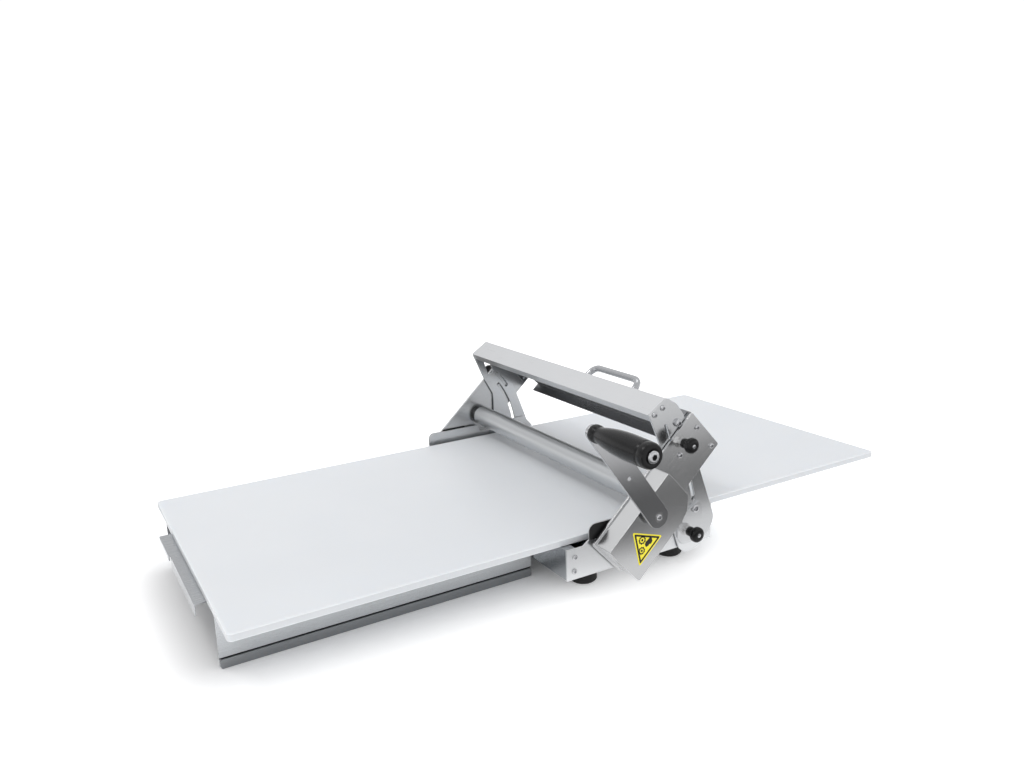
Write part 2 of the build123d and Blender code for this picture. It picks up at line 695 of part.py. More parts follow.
def support_tray():
    """Inverted sheet-steel tray under the board's end: walls, folded lip, flared tab and two hooks."""
    wall_low = RAIL_HIGH + RAIL_GAP
    wall_x = TRAY_RIGHT - TRAY_THICK
    lip_middle, lip_wide = MID_Y + (LIP_NEAR + LIP_FAR) / 2, LIP_FAR - LIP_NEAR
    with BuildPart() as tray:
        with BuildSketch(Plane.XY.offset(TRAY_TOP - TRAY_THICK)):
            with Locations(((TRAY_LEFT + TRAY_RIGHT) / 2, MID_Y)):
                Rectangle(TRAY_RIGHT - TRAY_LEFT, 2 * TRAY_HALF)
            with Locations(((LIP_LEFT + TRAY_LEFT) / 2, lip_middle)):
                Rectangle(TRAY_LEFT - LIP_LEFT, lip_wide)
            with Locations(((TAB_LEFT + TRAY_LEFT) / 2, MID_Y + 70.0)):
                Rectangle(TRAY_LEFT - TAB_LEFT, 70.0)
        extrude(amount=TRAY_THICK)
        for side in SIDES.values():
            for inner, low, high in ((TRAY_HALF - TRAY_THICK, wall_low, TRAY_TOP),
                                     (TRAY_HALF - 2 * TRAY_THICK, 2.0, wall_low + 7.0)):
                with BuildSketch(side_plane(side, inner)):
                    with Locations(((TRAY_LEFT + TRAY_RIGHT) / 2, (low + high) / 2)):
                        Rectangle(TRAY_RIGHT - TRAY_LEFT, high - low)
                extrude(amount=outwards(side, TRAY_THICK))
        for x, low, middle, wide in ((wall_x, 6.0, MID_Y, 2 * (TRAY_HALF - TRAY_THICK)),
                                     (LIP_LEFT, TRAY_TOP - 14.5, MID_Y + (LIP_NEAR + 32) / 2, 32 - LIP_NEAR),
                                     (TAB_LEFT, TRAY_TOP - 7.0, MID_Y + 70.0, 70.0)):
            with BuildSketch(Plane.YZ.offset(x)):
                with Locations((middle, (low + TRAY_TOP) / 2)):
                    Rectangle(wide, TRAY_TOP - low)
            extrude(amount=TRAY_THICK)
        for y in (-100.0, 100.0):
            with BuildSketch(Plane.YZ.offset(wall_x)):
                with Locations((MID_Y + y, 48.0)):
                    Rectangle(30.0, 2.0)
            extrude(amount=12.0)
    return tray


def tray_rails():
    """Two skid strips along the tray's feet, one each side, a narrow gap below the walls."""
    with BuildPart() as rails:
        for side in SIDES.values():
            with BuildSketch(side_plane(side, TRAY_HALF - TRAY_THICK)) as strip:
                with Locations(((TRAY_LEFT + 1 + TRAY_RIGHT) / 2, RAIL_HIGH / 2)):
                    RectangleRounded(TRAY_RIGHT - TRAY_LEFT - 1, RAIL_HIGH, 2.5)
            extrude(strip.sketch, amount=outwards(side, 1.8))
    return rails


# ---------------------------------------------------------------- build everything
save(base_pan(), "base_pan")
save(foot_screws(), "foot_screws")
save(pan_screws(), "pan_screws")
save(flanged_bushes((LOWER_X, LOWER_Z), PANEL_IN, PANEL_OUT, 8.0, 11.0, SIDES.values()),
     "lower_roller_bushes")
save(upright_beam(), "upright_beam")
save(cap_screws(BEAM_HOLES, ARM_OUT, 2.4, 3.6, 1.8, ARM_IN - SHEET), "beam_screws")
save(cap_screws([STOP], ARM_OUT, 5.0, 5.4, 1.9, ARM_IN), "stop_screws")
save(cap_screws([PIVOT], ARM_OUT + PLATE, 3.5, 5.6, 4.0, PANEL_IN - 2.0), "arm_bolts")
save(board(), "board")
save(support_tray(), "support_tray")
save(tray_rails(), "tray_rails")

lower_tube, lower_shaft = roller((LOWER_X, LOWER_Z), LOWER_HALF, PANEL_OUT + 1.8, PANEL_OUT + 1.8)
save(lower_tube, "lower_roller")
save(lower_shaft, "lower_roller_shaft")
upper_tube, upper_shaft = roller((ROLLER_X, ROLLER_Z), UPPER_HALF, GEAR_IN + GEAR_WIDE + 1.0, HEAD_OUT + 3.0)
save(upper_tube, "upper_roller")
save(upper_shaft, "upper_roller_shaft")
save(flanged_bushes((ROLLER_X, ROLLER_Z), HEAD_IN, HEAD_OUT, 8.5, 11.0, SIDES.values()),
     "upper_roller_bushes")

for word, direction in SIDES.items():
    save(base_side(direction), f"base_side_{word}")
    save(hinge_pad(direction), f"hinge_pad_{word}")
    save(upright_arm(direction), f"upright_arm_{word}")
    save(plunger_lug(direction), f"plunger_lug_{word}")
    save(head_plate(direction), f"head_plate_{word}")
    for x_place, place_word in zip(FOOT_X, ("front", "rear")):
        save(foot(x_place, direction), f"foot_{word}_{place_word}")
    for level, spot, seat, nose in (
        ("upper", UPPER_PIN, HEAD_OUT, ARM_IN + 0.3),
        ("lower", LOWER_PIN, ARM_OUT + PLATE, PANEL_IN + 0.3),
    ):
        save(plunger_body(direction, spot, seat), f"{level}_plunger_body_{word}")
        save(plunger_pin(direction, spot, nose, seat + 18.2), f"{level}_plunger_pin_{word}")
        save(plunger_knob(direction, spot, seat + 8.2), f"{level}_plunger_knob_{word}")

save(head_web(), "head_web")
save(carry_handle(), "carry_handle")
save(handle_nuts(), "handle_nuts")
save(gear_cover(), "gear_cover")

with BuildPart() as hinge_bolts:
    for direction in SIDES.values():
        for start, end, radius in ((PANEL_IN, HEAD_OUT + 0.4, 4.0), (PANEL_OUT, HEAD_IN - 0.5, 7.0),
                                   (HEAD_OUT + 0.4, HEAD_OUT + 3.4, 6.5)):
            disc(side_plane(direction, start), HINGE, radius, outwards(direction, end - start))
save(hinge_bolts, "head_hinge_bolts")

with BuildPart() as web_screws:
    for direction in SIDES.values():
        for spot in WEB_SCREWS:
            disc(head_plane(direction, HEAD_IN - 2.4), spot, 1.8, outwards(direction, PLATE + 2.4))
            disc(head_plane(direction, HEAD_OUT), spot, 3.6, outwards(direction, 2.4))
save(web_screws, "web_screws")

with BuildPart() as guide_pins:
    for direction in SIDES.values():
        disc(side_plane(direction, ARM_IN - 0.4), GUIDE_PIN, PIN_R,
             outwards(direction, HEAD_IN - ARM_IN + 0.4))
        disc(side_plane(direction, HEAD_IN), GUIDE_PIN, 2.2, outwards(direction, PLATE))
        disc(side_plane(direction, HEAD_OUT), GUIDE_PIN, 3.9, outwards(direction, 2.4))
save(guide_pins, "guide_pins")

with BuildPart() as cover_screws:
    for spot in COVER_TABS:
        disc(head_plane(NEAR, HEAD_IN - 2.0), spot, 3.5, 2.0)
        disc(head_plane(NEAR, HEAD_IN), spot, 1.8, PLATE + 2.0)
save(cover_screws, "cover_screws")

with BuildPart() as cover_bush:
    for start, end, radius in ((COVER_OUT - 6.0, COVER_OUT - 1.5, 10.5), (COVER_OUT - 1.5, COVER_OUT, 8.5),
                               (COVER_OUT, COVER_OUT + 1.5, 11.5)):
        disc(head_plane(NEAR, start), CRANK_UV, radius, end - start)
    disc(head_plane(NEAR, COVER_OUT - 6.0), CRANK_UV, JOURNAL_R + RUNNING, 7.5, Mode.SUBTRACT)
save(cover_bush, "crank_bush_outer")
save(flanged_bushes((CRANK_X, CRANK_Z), HEAD_IN, HEAD_OUT, 8.5, 11.0, [NEAR]), "crank_bush_inner")

save(gear((ROLLER_X, ROLLER_Z), ROLLER_TEETH, 180 + GEAR_LINE + 180 / ROLLER_TEETH, JOURNAL_R), "roller_gear")
save(gear((CRANK_X, CRANK_Z), CRANK_TEETH, GEAR_LINE, JOURNAL_R), "crank_gear")
save(stacked(NEAR, (CRANK_X, CRANK_Z), [(HEAD_IN - 1.0, CRANK_IN + CRANK_THICK, JOURNAL_R)]), "crank_shaft")
save(stacked(NEAR, (CRANK_X, CRANK_Z), [(CRANK_IN + CRANK_THICK, CRANK_IN + CRANK_THICK + 2.6, 4.6)]),
     "crank_screw")
save(crank_arm(), "crank_arm")
save(grip_spindle(), "grip_spindle")
save(crank_grip(), "crank_grip")
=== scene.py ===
"""Looks for the dough sheeter: materials, edges, fasteners, grip, knobs, sign and the studio."""
import json
import math

import bmesh
import bpy
from mathutils import Matrix, Vector


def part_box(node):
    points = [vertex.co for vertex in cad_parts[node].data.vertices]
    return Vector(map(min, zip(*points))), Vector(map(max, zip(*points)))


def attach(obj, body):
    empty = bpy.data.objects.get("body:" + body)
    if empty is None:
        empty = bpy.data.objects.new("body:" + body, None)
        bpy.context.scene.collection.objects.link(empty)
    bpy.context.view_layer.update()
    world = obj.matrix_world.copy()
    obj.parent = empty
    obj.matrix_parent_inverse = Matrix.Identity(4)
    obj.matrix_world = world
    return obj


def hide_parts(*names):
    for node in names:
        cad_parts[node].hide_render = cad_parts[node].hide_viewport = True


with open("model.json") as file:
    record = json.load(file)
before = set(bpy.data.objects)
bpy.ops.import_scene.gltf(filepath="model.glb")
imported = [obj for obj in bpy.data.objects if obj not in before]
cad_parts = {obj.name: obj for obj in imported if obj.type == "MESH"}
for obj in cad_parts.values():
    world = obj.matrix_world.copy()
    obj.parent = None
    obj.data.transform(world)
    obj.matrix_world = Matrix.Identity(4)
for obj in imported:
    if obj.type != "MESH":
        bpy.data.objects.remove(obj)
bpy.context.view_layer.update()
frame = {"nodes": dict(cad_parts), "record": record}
NODES = frame["nodes"]

# machine datum to row frame, metres
SHIFT_X, SHIFT_Y = 0.008, 0.059
TILT = math.radians(42.5)
NEAR, FAR = -1, 1
SIDES = {"near": NEAR, "far": FAR}
IN_HEAD_U = Vector((math.cos(TILT), 0, math.sin(TILT)))
IN_HEAD_V = Vector((-math.sin(TILT), 0, math.cos(TILT)))


def at(x, y, z):
    """A point given in millimetres from the machine's datum, in row metres."""
    return Vector((x / 1000 + SHIFT_X, y / 1000 + SHIFT_Y, z / 1000))


def in_head(u, v, y):
    """A point given along and across the leaning head, in row metres."""
    spot = (IN_HEAD_U * u + IN_HEAD_V * v) / 1000
    return Vector((spot.x + SHIFT_X, y / 1000 + SHIFT_Y, spot.z))


# ---------------------------------------------------------------- materials
class Nodes:
    """Short-hand for building one material's nodes."""

    def __init__(self, name):
        self.material = bpy.data.materials.new(name)
        self.material.use_nodes = True
        self.tree = self.material.node_tree
        self.shader = self.tree.nodes["Principled BSDF"]
        self.coords = self.tree.nodes.new("ShaderNodeTexCoord").outputs["Object"]

    def add(self, kind, **settings):
        node = self.tree.nodes.new(kind)
        for key, value in settings.items():
            setattr(node, key, value)
        return node

    def link(self, source, target):
        self.tree.links.new(source, target)

    def mapped(self, scale, turn=(0, 0, 0)):
        """Object coordinates turned, then scaled."""
        spin = self.add("ShaderNodeMapping", vector_type="TEXTURE")
        spin.inputs["Rotation"].default_value = turn
        self.link(self.coords, spin.inputs["Vector"])
        stretch = self.add("ShaderNodeMapping")
        stretch.inputs["Scale"].default_value = scale
        self.link(spin.outputs["Vector"], stretch.inputs["Vector"])
        return stretch.outputs["Vector"]

    def noise(self, vector, scale=1.0, detail=4.0, rough=0.55):
        node = self.add("ShaderNodeTexNoise")
        node.inputs["Scale"].default_value = scale
        node.inputs["Detail"].default_value = detail
        node.inputs["Roughness"].default_value = rough
        self.link(vector, node.inputs["Vector"])
        return node.outputs["Fac"]

    def spread(self, source, low, high, start=0.25, stop=0.75):
        node = self.add("ShaderNodeMapRange")
        for key, value in (("From Min", start), ("From Max", stop), ("To Min", low), ("To Max", high)):
            node.inputs[key].default_value = value
        self.link(source, node.inputs["Value"])
        return node.outputs["Result"]

    def maths(self, kind, first, second):
        node = self.add("ShaderNodeMath", operation=kind)
        for socket, value in zip(node.inputs, (first, second)):
            if isinstance(value, (int, float)):
                socket.default_value = value
            else:
                self.link(value, socket)
        return node.outputs["Value"]

    def blend(self, factor, low, high):
        node = self.add("ShaderNodeMix", data_type="RGBA")
        self.link(factor, node.inputs["Factor"])
        node.inputs["A"].default_value = (*low, 1)
        node.inputs["B"].default_value = (*high, 1)
        return node.outputs["Result"]

    def bump(self, height, distance):
        node = self.add("ShaderNodeBump")
        node.inputs["Strength"].default_value = 1.0
        node.inputs["Distance"].default_value = distance
        self.link(height, node.inputs["Height"])
        self.link(node.outputs["Normal"], self.shader.inputs["Normal"])

    def set(self, **values):
        for key, value in values.items():
            self.shader.inputs[key.replace("_", " ")].default_value = value


BRUSHED_X, BRUSHED_Y, BRUSHED_Z = (14, 2400, 2400), (2400, 14, 2400), (2400, 2400, 14)
BRUSH_DEPTH, RING_DEPTH = 0.0000007, 0.0000003
HAIRLINE_SCALE, HAIRLINE_TURN = 0.55, 0.30


def steel(name, colour, rough, along=BRUSHED_X, turn=(0, 0, 0), grain=0.035):
    """Stainless sheet: fine brushing along one direction, soft smudges and a few hairline scratches."""
    m = Nodes(name)
    m.set(Metallic=1.0)
    lines = m.noise(m.mapped(along, turn), 1.0, 4.0, 0.7)
    smudge = m.noise(m.mapped((1, 1, 1)), 13.0, 4.0, 0.6)
    hair_along = tuple(value * HAIRLINE_SCALE for value in along)
    scratch = m.noise(m.mapped(hair_along, (turn[0], turn[1] + HAIRLINE_TURN, turn[2])), 1.0, 2.0, 0.5)
    hair = m.spread(scratch, 0.0, 1.0, 0.74, 0.80)
    shade = m.maths("ADD", m.spread(lines, 0.0, 0.5), m.spread(smudge, 0.0, 0.5))
    dark = tuple(value * 0.94 for value in colour)
    m.link(m.blend(shade, dark, colour), m.shader.inputs["Base Color"])
    tone = m.maths("ADD", m.spread(lines, rough - grain, rough + grain), m.spread(smudge, -0.015, 0.02))
    m.link(m.maths("ADD", tone, m.maths("MULTIPLY", hair, 0.06)), m.shader.inputs["Roughness"])
    m.bump(m.maths("SUBTRACT", lines, m.maths("MULTIPLY", hair, 0.4)), BRUSH_DEPTH)
    return m.material


def turned_steel(name, colour, rough, pitch=2600.0):
    """Turned or ground round steel: fine rings along Y."""
    m = Nodes(name)
    m.set(Metallic=1.0)
    rings = m.noise(m.mapped((4, pitch, 4)), 1.0, 2.0, 0.5)
    smudge = m.noise(m.mapped((1, 1, 1)), 9.0, 2.0, 0.5)
    dark = tuple(value * 0.95 for value in colour)
    m.link(m.blend(m.spread(smudge, 0.0, 1.0), dark, colour), m.shader.inputs["Base Color"])
    m.link(m.maths("ADD", m.spread(rings, rough - 0.025, rough + 0.025), m.spread(smudge, -0.01, 0.01)),
           m.shader.inputs["Roughness"])
    m.bump(rings, RING_DEPTH)
    return m.material


def moulded(name, colour, rough, grain_scale, depth, worn=None, **extra):
    """Moulded plastic or rubber with a fine skin texture and slightly uneven gloss."""
    m = Nodes(name)
    m.set(**extra)
    skin = m.noise(m.mapped((1, 1, 1)), grain_scale, 3.0, 0.5)
    patch = m.noise(m.mapped((1, 1, 1)), 40.0, 4.0, 0.6)
    worn = worn or tuple(min(1, value * 1.5 + 0.004) for value in colour)
    m.link(m.blend(m.spread(patch, 0.0, 1.0), colour, worn), m.shader.inputs["Base Color"])
    m.link(m.maths("ADD", m.spread(skin, rough - 0.04, rough + 0.04), m.spread(patch, -0.03, 0.06)),
           m.shader.inputs["Roughness"])
    m.bump(skin, depth)
    return m.material


KNIFE_MARK_DEPTH = 0.000015


def board_plastic(name, dark, pale):
    """White polyethylene: faintly see-through, fine extrusion grain and shallow knife marks."""
    m = Nodes(name)
    m.set(Subsurface_Weight=0.35, Subsurface_Radius=(0.006, 0.0065, 0.007), Subsurface_Scale=1.0, IOR=1.5,
          Specular_IOR_Level=0.45)
    grain = m.noise(m.mapped((40, 700, 300)), 1.0, 4.0, 0.6)
    cloud = m.noise(m.mapped((1, 1, 1)), 5.0, 3.0, 0.5)
    cuts = m.noise(m.mapped((9, 260, 9), (0, 0, 0.5)), 1.0, 2.0, 0.5)
    mark = m.spread(cuts, 0.0, 1.0, 0.71, 0.75)
    m.link(m.blend(m.spread(cloud, 0.0, 1.0), dark, pale), m.shader.inputs["Base Color"])
    m.link(m.maths("ADD", m.spread(grain, 0.30, 0.40), m.maths("MULTIPLY", mark, 0.12)),
           m.shader.inputs["Roughness"])
    m.bump(m.maths("SUBTRACT", m.maths("MULTIPLY", grain, 0.35), mark), KNIFE_MARK_DEPTH)
    return m.material


LEAN = (0, -TILT, 0)
PLATE_STEEL = steel("steel_head_plates", (0.66, 0.665, 0.67), 0.24, BRUSHED_X, LEAN)
ARM_STEEL = steel("steel_arms", (0.68, 0.69, 0.70), 0.20, BRUSHED_Z, (0, 0.2, 0))
SHEET_STEEL = steel("steel_base", (0.70, 0.71, 0.72), 0.30)
CROSS_STEEL = steel("steel_cross", (0.78, 0.79, 0.80), 0.30, BRUSHED_Y)
# painted shade: a dark copy of the steel for the inside of the head's web channel
WEB_STEEL_PAINTED_SHADE = steel("steel_web_painted_shade", (0.27, 0.275, 0.285), 0.28, BRUSHED_Y, grain=0.015)
TRAY_STEEL = steel("steel_tray", (0.505, 0.52, 0.535), 0.26)
RAIL_STEEL = steel("steel_rails", (0.27, 0.28, 0.29), 0.30)
COVER_STEEL = steel("steel_cover", (0.68, 0.685, 0.69), 0.22, BRUSHED_X, LEAN)
CRANK_STEEL = steel("steel_crank", (0.56, 0.565, 0.575), 0.17, BRUSHED_Z, (0, -0.67, 0))
ROLLER_STEEL = turned_steel("steel_roller", (0.56, 0.575, 0.585), 0.36)
SHAFT_STEEL = turned_steel("steel_turned", (0.62, 0.62, 0.62), 0.22)
GEAR_STEEL = turned_steel("steel_gears", (0.42, 0.42, 0.43), 0.34, 900.0)
FASTENER = turned_steel("steel_fasteners", (0.58, 0.585, 0.60), 0.18, 1800.0)
CHROME = turned_steel("chrome_bar", (0.50, 0.51, 0.525), 0.13, 900.0)
BLACK = moulded("black_plastic_moulded", (0.003, 0.003, 0.0035), 0.24, 1500.0, 0.000002,
                (0.006, 0.006, 0.0065), Specular_IOR_Level=0.28)
BUSH = moulded("bush_plastic_moulded", (0.006, 0.006, 0.0065), 0.36, 1200.0, 0.000003, Specular_IOR_Level=0.3)
BUSH_GREY = moulded("bush_grey_moulded", (0.10, 0.102, 0.106), 0.40, 1200.0, 0.000003)
RUBBER = moulded("foot_rubber", (0.006, 0.006, 0.006), 0.55, 900.0, 0.00002, (0.012, 0.012, 0.012),
                 Specular_IOR_Level=0.3)
BOARD = board_plastic("white_plastic_sheet", (0.765, 0.79, 0.815), (0.80, 0.82, 0.84))
# painted shade: a darker copy of the board's plastic for its side faces
BOARD_SIDE_PAINTED_SHADE = board_plastic("white_plastic_side_painted_shade", (0.62, 0.64, 0.66), (0.65, 0.665, 0.68))
SIGN_YELLOW = moulded("sign_yellow", (0.86, 0.74, 0.02), 0.33, 700.0, 0.000004, (0.90, 0.80, 0.03))
SIGN_BLACK = moulded("sign_black", (0.012, 0.012, 0.012), 0.35, 700.0, 0.000004)

FINISH = {
    "base_pan": TRAY_STEEL, "support_tray": TRAY_STEEL, "tray_rails": RAIL_STEEL, "hinge_pad": BUSH,
    "base_side": SHEET_STEEL, "upright_arm": ARM_STEEL, "plunger_lug": ARM_STEEL,
    "upright_beam": CROSS_STEEL, "head_plate": PLATE_STEEL, "head_web": WEB_STEEL_PAINTED_SHADE,
    "gear_cover": COVER_STEEL, "crank_arm": CRANK_STEEL, "carry_handle": CHROME, "board": BOARD,
    "upper_roller_bushes": BUSH_GREY, "lower_roller_bushes": BUSH, "crank_bush": BUSH, "crank_grip": BLACK,
    "roller_gear": GEAR_STEEL, "crank_gear": GEAR_STEEL, "upper_roller_shaft": SHAFT_STEEL,
    "lower_roller_shaft": SHAFT_STEEL, "upper_roller": ROLLER_STEEL, "lower_roller": ROLLER_STEEL,
    "crank_shaft": SHAFT_STEEL, "grip_spindle": FASTENER, "foot_screws": FASTENER,
    "foot_": RUBBER, "upper_plunger_knob": BLACK, "lower_plunger_knob": BLACK,
    "upper_plunger": SHAFT_STEEL, "lower_plunger": SHAFT_STEEL,
}


def finish_of(node):
    """The material of a node, by the longest matching start of its name."""
    found = [start for start in FINISH if node.startswith(start)]
    return FINISH[max(found, key=len)] if found else FASTENER


for name, obj in NODES.items():
    for holder in obj.material_slots:
        holder.material = finish_of(name)


# ---------------------------------------------------------------- mesh helpers
SHARP_ANGLE = 38  # degrees between faces, above which a turned edge stays sharp
LEAST_RADIUS = 0.00004


def body_of(node):
    """The moving body that a node belongs to."""
    return next(body for body, members in frame["record"]["behaviour"]["bodies"].items() if node in members)


def piece(name, mesh, material, body, replaces=()):
    """Link a finished mesh as one piece that rides on a body."""
    obj = bpy.data.objects.new(name, mesh)
    bpy.context.scene.collection.objects.link(obj)
    mesh.materials.append(material)
    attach(obj, body)
    if replaces:
        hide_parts(*replaces)
    return obj


BROKEN_EDGE = 0.00035
WELD_GAP, FLAT_ANGLE, EDGE_ANGLE = 0.000002, 0.4, 35  # metres, degrees, degrees


def softened(node, width=BROKEN_EDGE, segments=2):
    """A copy of a node with its sharp edges broken, so that they catch the light."""
    work = bmesh.new()
    work.from_mesh(NODES[node].data)
    bmesh.ops.remove_doubles(work, verts=work.verts, dist=WELD_GAP)
    bmesh.ops.dissolve_limit(work, angle_limit=math.radians(FLAT_ANGLE), verts=work.verts, edges=work.edges)
    mesh = bpy.data.meshes.new(node + "_edged")
    work.to_mesh(mesh)
    work.free()
    mesh.shade_smooth()
    body = body_of(node)
    obj = piece(node + "_edged", mesh, finish_of(node), body, [node])
    bevel = obj.modifiers.new("edges", "BEVEL")
    bevel.width = width
    bevel.segments = segments
    bevel.limit_method = "ANGLE"
    bevel.angle_limit = math.radians(EDGE_ANGLE)
    bevel.use_clamp_overlap = False
    flat = obj.modifiers.new("flat_faces", "WEIGHTED_NORMAL")
    flat.mode = "FACE_AREA"
    flat.weight = 100
    return obj


def rings_to_mesh(name, rings):
    """A tube of equal-length rings of points, closed at its ends."""
    work = bmesh.new()
    rows = [[work.verts.new(point) for point in ring] for ring in rings]
    count = len(rows[0])
    for first, second in zip(rows, rows[1:]):
        for i in range(count):
            j = (i + 1) % count
            work.faces.new((first[i], first[j], second[j], second[i]))
    work.faces.new(list(reversed(rows[0])))
    work.faces.new(rows[-1])
    bmesh.ops.recalc_face_normals(work, faces=work.faces)
    mesh = bpy.data.meshes.new(name)
    work.to_mesh(mesh)
    work.free()
    mesh.shade_smooth()
    mesh.set_sharp_from_angle(angle=math.radians(SHARP_ANGLE))
    return mesh


def circle(centre, axis, radius, out, count, hexagon):
    """One ring about an axis; hexagon blends the circle into a hexagon of the same inner radius."""
    axis = axis.normalized()
    side = axis.orthogonal().normalized()
    other = axis.cross(side)
    points = []
    for i in range(count):
        angle = 2 * math.pi * i / count
        wrapped = (angle % (math.pi / 3)) - math.pi / 6
        length = radius * (1 - hexagon) + hexagon * radius / math.cos(wrapped)
        points.append(centre + axis * out + (side * math.cos(angle) + other * math.sin(angle)) * length)
    return points


def lathe(name, profile, centre, axis, count=64, hexes=None):
    """A turned mesh: profile is a list of (radius, distance along the axis) in metres."""
    hexes = hexes or {}
    rings = [circle(centre, axis, max(radius, LEAST_RADIUS), out, count, hexes.get(i, 0.0))
             for i, (radius, out) in enumerate(profile)]
    return rings_to_mesh(name, rings)


def join(meshes, name):
    """One mesh out of several, keeping each one's smooth and sharp edges."""
    objects = []
    for mesh in meshes:
        obj = bpy.data.objects.new(name, mesh)
        bpy.context.scene.collection.objects.link(obj)
        objects.append(obj)
    with bpy.context.temp_override(active_object=objects[0], selected_editable_objects=objects):
        bpy.ops.object.join()
    merged = objects[0].data
    bpy.data.objects.remove(objects[0])
    return merged


def button_screw(name, centre, axis, head_radius, head_high, socket, shank_radius, shank_long, floor=None):
    """A button-head screw with a hexagon socket down to floor; centre lies under the head."""
    mm = 0.001
    floor = head_high * 0.25 if floor is None else floor
    profile = [(shank_radius * 0.7, -shank_long), (shank_radius, -shank_long + 0.4), (shank_radius, 0),
               (head_radius * 0.97, 0), (head_radius, head_high * 0.14)]
    for step in range(1, 7):
        angle = math.radians(15 * step)
        profile.append((socket * 1.35 + (head_radius - socket * 1.35) * math.cos(angle),
                        head_high * (0.14 + 0.86 * math.sin(angle))))
    first_hex = len(profile)
    profile += [(socket * 1.02, head_high), (socket, head_high * 0.93), (socket, floor), (0.05, floor - 0.3)]
    hexes = {first_hex: 1.0, first_hex + 1: 1.0, first_hex + 2: 1.0, first_hex + 3: 1.0}
    return lathe(name, [(r * mm, d * mm) for r, d in profile], centre, axis, 48, hexes)


def outline_plate(name, outlines, place, low, high):
    """A flat plate from (u, v) outlines: the first is the border and the others are holes."""
    curve = bpy.data.curves.new(name, "CURVE")
    curve.dimensions = "2D"
    curve.fill_mode = "BOTH"
    for outline in outlines:
        spline = curve.splines.new("POLY")
        spline.points.add(len(outline) - 1)
        for point, (u, v) in zip(spline.points, outline):
            point.co = (u / 1000, v / 1000, 0, 1)
        spline.use_cyclic_u = True
    flat = bpy.data.objects.new(name, curve)
    bpy.context.scene.collection.objects.link(flat)
    mesh = bpy.data.meshes.new_from_object(flat.evaluated_get(bpy.context.evaluated_depsgraph_get()))
    bpy.data.objects.remove(flat)
    work = bmesh.new()
    work.from_mesh(mesh)
    bmesh.ops.remove_doubles(work, verts=work.verts, dist=0.000001)
    bmesh.ops.dissolve_limit(work, angle_limit=0.01, verts=work.verts, edges=work.edges)
    result = bmesh.ops.extrude_face_region(work, geom=work.faces[:])
    lifted = {item for item in result["geom"] if isinstance(item, bmesh.types.BMVert)}
    for vert in work.verts:
        u, v = vert.co.x * 1000, vert.co.y * 1000
        vert.co = place(u, v, high if vert in lifted else low)
    bmesh.ops.recalc_face_normals(work, faces=work.faces)
    work.to_mesh(mesh)
    work.free()
    mesh.materials.clear()
    return mesh


# ---------------------------------------------------------------- nodes with broken edges
# painted shadow: the strip inside the tray's wall is made black to stand in for the dark line of shade
# between the wall's lower edge and the rail;
# STRIP_OUT is its distance from the machine's middle plane, and WALL_LOW is just over the wall's lower edge
STRIP_OUT, STRIP_BAND = 0.146, 0.0005
WALL_LOW = 0.0135
FOOT_EDGE = 0.0009

for node in ("base_pan", "support_tray", "tray_rails", "hinge_pad_near", "hinge_pad_far", "upright_beam",
             "head_web", "gear_cover", "base_side_near", "base_side_far", "upright_arm_near",
             "upright_arm_far", "head_plate_near", "head_plate_far", "plunger_lug_near", "plunger_lug_far",
             "crank_arm"):
    sheet = softened(node)
    if node == "head_web":  # painted shade: dark steel inside the channel stands in for its shade, bright steel on the back where the handle sits
        sheet.data.materials.append(CROSS_STEEL)
        for face in sheet.data.polygons:
            face.material_index = int(face.normal.dot(IN_HEAD_U) > 0.9)
    if node == "support_tray":  # painted shadow: the strip behind the gap between the tray's walls and its rails gets the black bush plastic in place of its shade
        sheet.data.materials.append(BUSH)
        rail_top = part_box("tray_rails")[1].z
        cut = bmesh.new()
        cut.from_mesh(sheet.data)
        bmesh.ops.bisect_plane(cut, geom=cut.verts[:] + cut.edges[:] + cut.faces[:],
                               plane_co=(0, 0, rail_top), plane_no=(0, 0, 1))
        cut.to_mesh(sheet.data)
        cut.free()
        for face in sheet.data.polygons:
            spot = face.center
            on_painted_shadow_strip = abs(face.normal.y) > 0.9 and abs(abs(spot.y - SHIFT_Y) - STRIP_OUT) < STRIP_BAND
            face.material_index = int(on_painted_shadow_strip and rail_top < spot.z < WALL_LOW)
slab = softened("board")
slab.data.materials.append(BOARD_SIDE_PAINTED_SHADE)  # painted shade: the side faces get a darker copy of the plastic than the top and bottom faces
for face in slab.data.polygons:
    face.material_index = int(abs(face.normal.z) < 0.05)
for node in ("foot_near_front", "foot_near_rear", "foot_far_front", "foot_far_rear"):
    softened(node, FOOT_EDGE, 3)

# ---------------------------------------------------------------- fasteners
AXIS = {NEAR: Vector((0, -1, 0)), FAR: Vector((0, 1, 0))}
# body, places, distance from the middle plane, head radius and height, socket, shank radius and length,
# and whether the places are given in the leaning head (u, v) or upright (x, z); all in millimetres
SCREWS = {
    "pan_screws": ("base", [(-80.0, 53.0), (-81.0, 35.0)], 227.0, 3.6, 2.2, 1.45, 1.8, 6.0, False),
    "beam_screws": ("base", [(51.0, 220.0), (38.5, 213.0)], 231.0, 3.6, 2.4, 1.45, 1.8, 5.0, False),
    "stop_screws": ("base", [(75.0, 197.0)], 231.0, 5.4, 5.0, 2.2, 1.9, 3.0, False),
    "arm_bolts": ("base", [(105.0, 76.0)], 234.0, 5.6, 3.5, 2.4, 4.0, 11.0, False),
    "web_screws": ("head", [(202.7, 67.2), (201.5, 28.6)], 235.0, 3.6, 2.4, 1.45, 1.8, 5.4, True),
    "guide_pins": ("head", [(77.0, 154.6)], 235.0, 3.9, 2.4, 1.5, 2.45, 7.4, False),
}
for name, (body, spots, out, head_r, head_h, socket, shank_r, shank_l, leaning) in SCREWS.items():
    heads = []
    for side in SIDES.values():
        for a, b in spots:
            centre = in_head(a, b, side * out) if leaning else at(a, side * out, b)
            heads.append(button_screw(name, centre, AXIS[side], head_r, head_h, socket, shank_r, shank_l))
    piece(name + "_heads", join(heads, name), FASTENER, body, [name])

